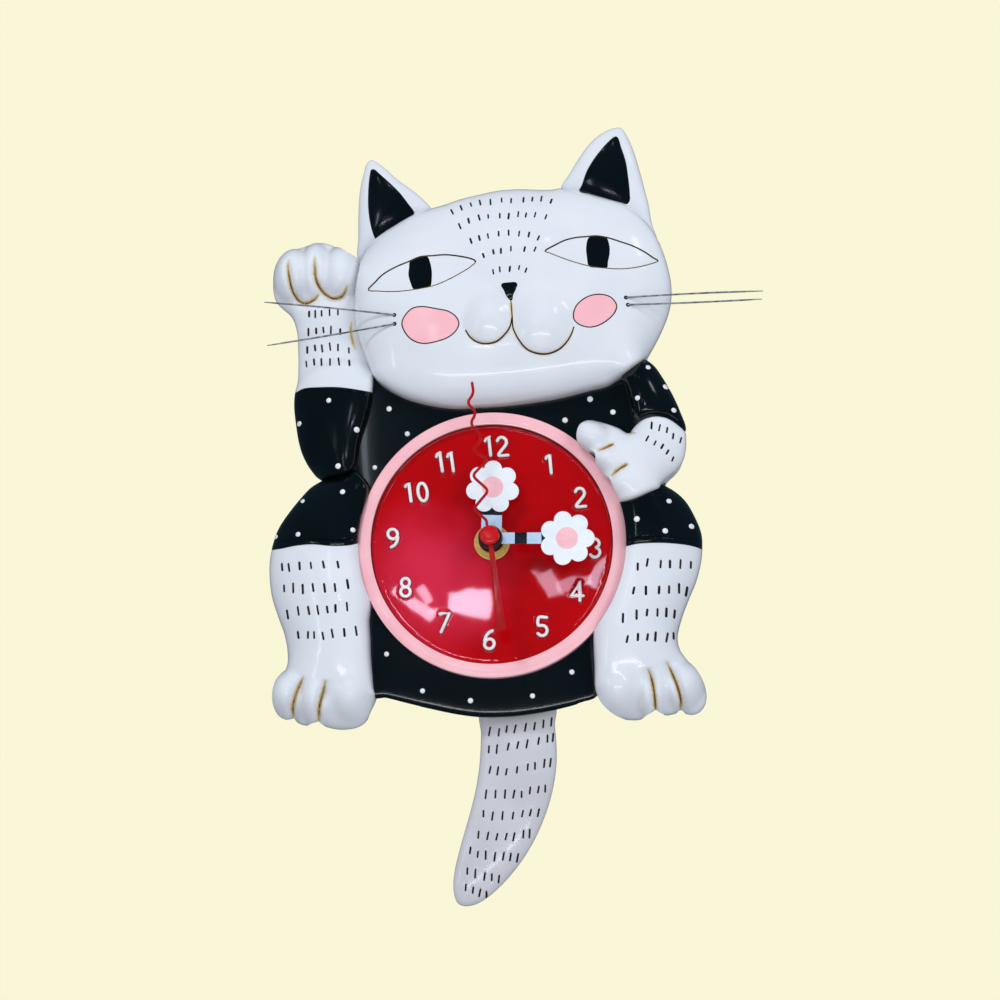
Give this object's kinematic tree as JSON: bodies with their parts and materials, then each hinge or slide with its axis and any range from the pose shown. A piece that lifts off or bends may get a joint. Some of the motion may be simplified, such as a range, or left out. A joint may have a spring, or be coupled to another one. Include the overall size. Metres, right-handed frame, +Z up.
{
  "type": "pendulum wall clock",
  "caption": "Wall clock shaped like a seated beckoning cat, with a round belly dial, flower-tipped hands, wire whiskers and a tail that swings as the pendulum.",
  "frame": {"origin": "on the wall plane, 64 mm straight above the hand arbor, at the bearing point between the movement pocket and the head pocket", "axes": "+Z up, +X to the dial's right as seen from the front, +Y into the wall; the dial faces -Y"},
  "size_m": [0.2203, 0.0475, 0.3496],
  "materials": {
    "resin_white": "glossy hand-painted resin",
    "tail_white": "glossy hand-painted resin",
    "steel_wire": "bright wire",
    "hand_white": "satin paint",
    "hub_black": "gloss",
    "red": "gloss",
    "brass": "polished",
    "rubber": "matt",
    "movement_black": "fine texture",
    "battery": "printed sleeve",
    "contact": "nickel plated",
    "board": "solder mask",
    "copper": "enamelled copper wire",
    "core": "bare sheet",
    "gear_white": "moulded",
    "lever_white": "moulded",
    "magnet": "bare ferrite and steel"
  },
  "bodies": {
    "figure": {"resin_case": "resin_white", "whisker_left_upper": "steel_wire", "whisker_left_lower": "steel_wire", "whisker_right_upper": "steel_wire", "whisker_right_lower": "steel_wire", "fixing_nut": "brass", "fixing_washer": "brass", "rubber_gasket": "rubber", "movement_front_case": "movement_black", "movement_rear_cover": "movement_black", "aa_battery": "battery", "battery_contact_positive": "contact", "battery_contact_negative": "contact", "circuit_board": "board", "drive_coil": "copper", "stator": "core", "pendulum_coil": "copper", "pendulum_pivot_pin": "steel_wire"},
    "seconds_arbor": {"seconds_wheel": "gear_white", "seconds_hand": "red", "seconds_hand_cap": "red"},
    "rotor_body": {"rotor": "magnet"},
    "intermediate_body": {"intermediate_wheel": "gear_white"},
    "third_body": {"third_wheel": "gear_white"},
    "centre_body": {"centre_wheel": "gear_white"},
    "minute_arbor": {"cannon_pinion": "gear_white", "minute_hand": "hand_white", "minute_hand_nut": "hub_black"},
    "motion_work_body": {"motion_work_wheel": "gear_white"},
    "hour_arbor": {"hour_wheel": "gear_white", "hour_hand": "hand_white"},
    "setting_knob_body": {"time_set_knob": "movement_black"},
    "pendulum": {"tail_pendulum": "tail_white", "tail_hook": "steel_wire", "pendulum_lever": "lever_white", "pendulum_magnet": "magnet"}
  },
  "joints": [
    {"name": "seconds_spin", "type": "hinge", "parent": "figure", "child": "seconds_arbor", "pos_m": [0, -0.026, -0.064], "axis": [0, 1, 0], "continuous": true},
    {"name": "rotor_spin", "type": "hinge", "parent": "figure", "child": "rotor_body", "pos_m": [0.01554, -0.009, -0.07409], "axis": [0, 1, 0], "continuous": true},
    {"name": "intermediate_spin", "type": "hinge", "parent": "figure", "child": "intermediate_body", "pos_m": [0.0115, -0.009, -0.06708], "axis": [0, 1, 0], "continuous": true},
    {"name": "third_spin", "type": "hinge", "parent": "figure", "child": "third_body", "pos_m": [-0.0115, -0.009, -0.06819], "axis": [0, 1, 0], "continuous": true},
    {"name": "centre_spin", "type": "hinge", "parent": "figure", "child": "centre_body", "pos_m": [0, -0.0126, -0.064], "axis": [0, 1, 0], "continuous": true},
    {"name": "minute_spin", "type": "hinge", "parent": "figure", "child": "minute_arbor", "pos_m": [0, -0.026, -0.064], "axis": [0, 1, 0], "continuous": true},
    {"name": "motion_work_spin", "type": "hinge", "parent": "figure", "child": "motion_work_body", "pos_m": [0.00566, -0.014, -0.05834], "axis": [0, 1, 0], "continuous": true},
    {"name": "hour_spin", "type": "hinge", "parent": "figure", "child": "hour_arbor", "pos_m": [0, -0.026, -0.064], "axis": [0, 1, 0], "continuous": true},
    {"name": "setting_knob_spin", "type": "hinge", "parent": "figure", "child": "setting_knob_body", "pos_m": [0.01131, -0.009, -0.05269], "axis": [0, 1, 0], "continuous": true},
    {"name": "pendulum_swing", "type": "hinge", "parent": "figure", "child": "pendulum", "pos_m": [0, -0.011, -0.102], "axis": [0, -1, 0], "range_deg": [-13.6, 2.4]}
  ],
  "couplings": [
    {"joint": "rotor_spin", "follows": "seconds_spin", "ratio": 30},
    {"joint": "intermediate_spin", "follows": "seconds_spin", "ratio": -6},
    {"joint": "third_spin", "follows": "seconds_spin", "ratio": -0.13333},
    {"joint": "centre_spin", "follows": "seconds_spin", "ratio": 0.016667},
    {"joint": "motion_work_spin", "follows": "minute_spin", "ratio": -0.33333},
    {"joint": "hour_spin", "follows": "minute_spin", "ratio": 0.083333},
    {"joint": "setting_knob_spin", "follows": "minute_spin", "ratio": 1}
  ]
}
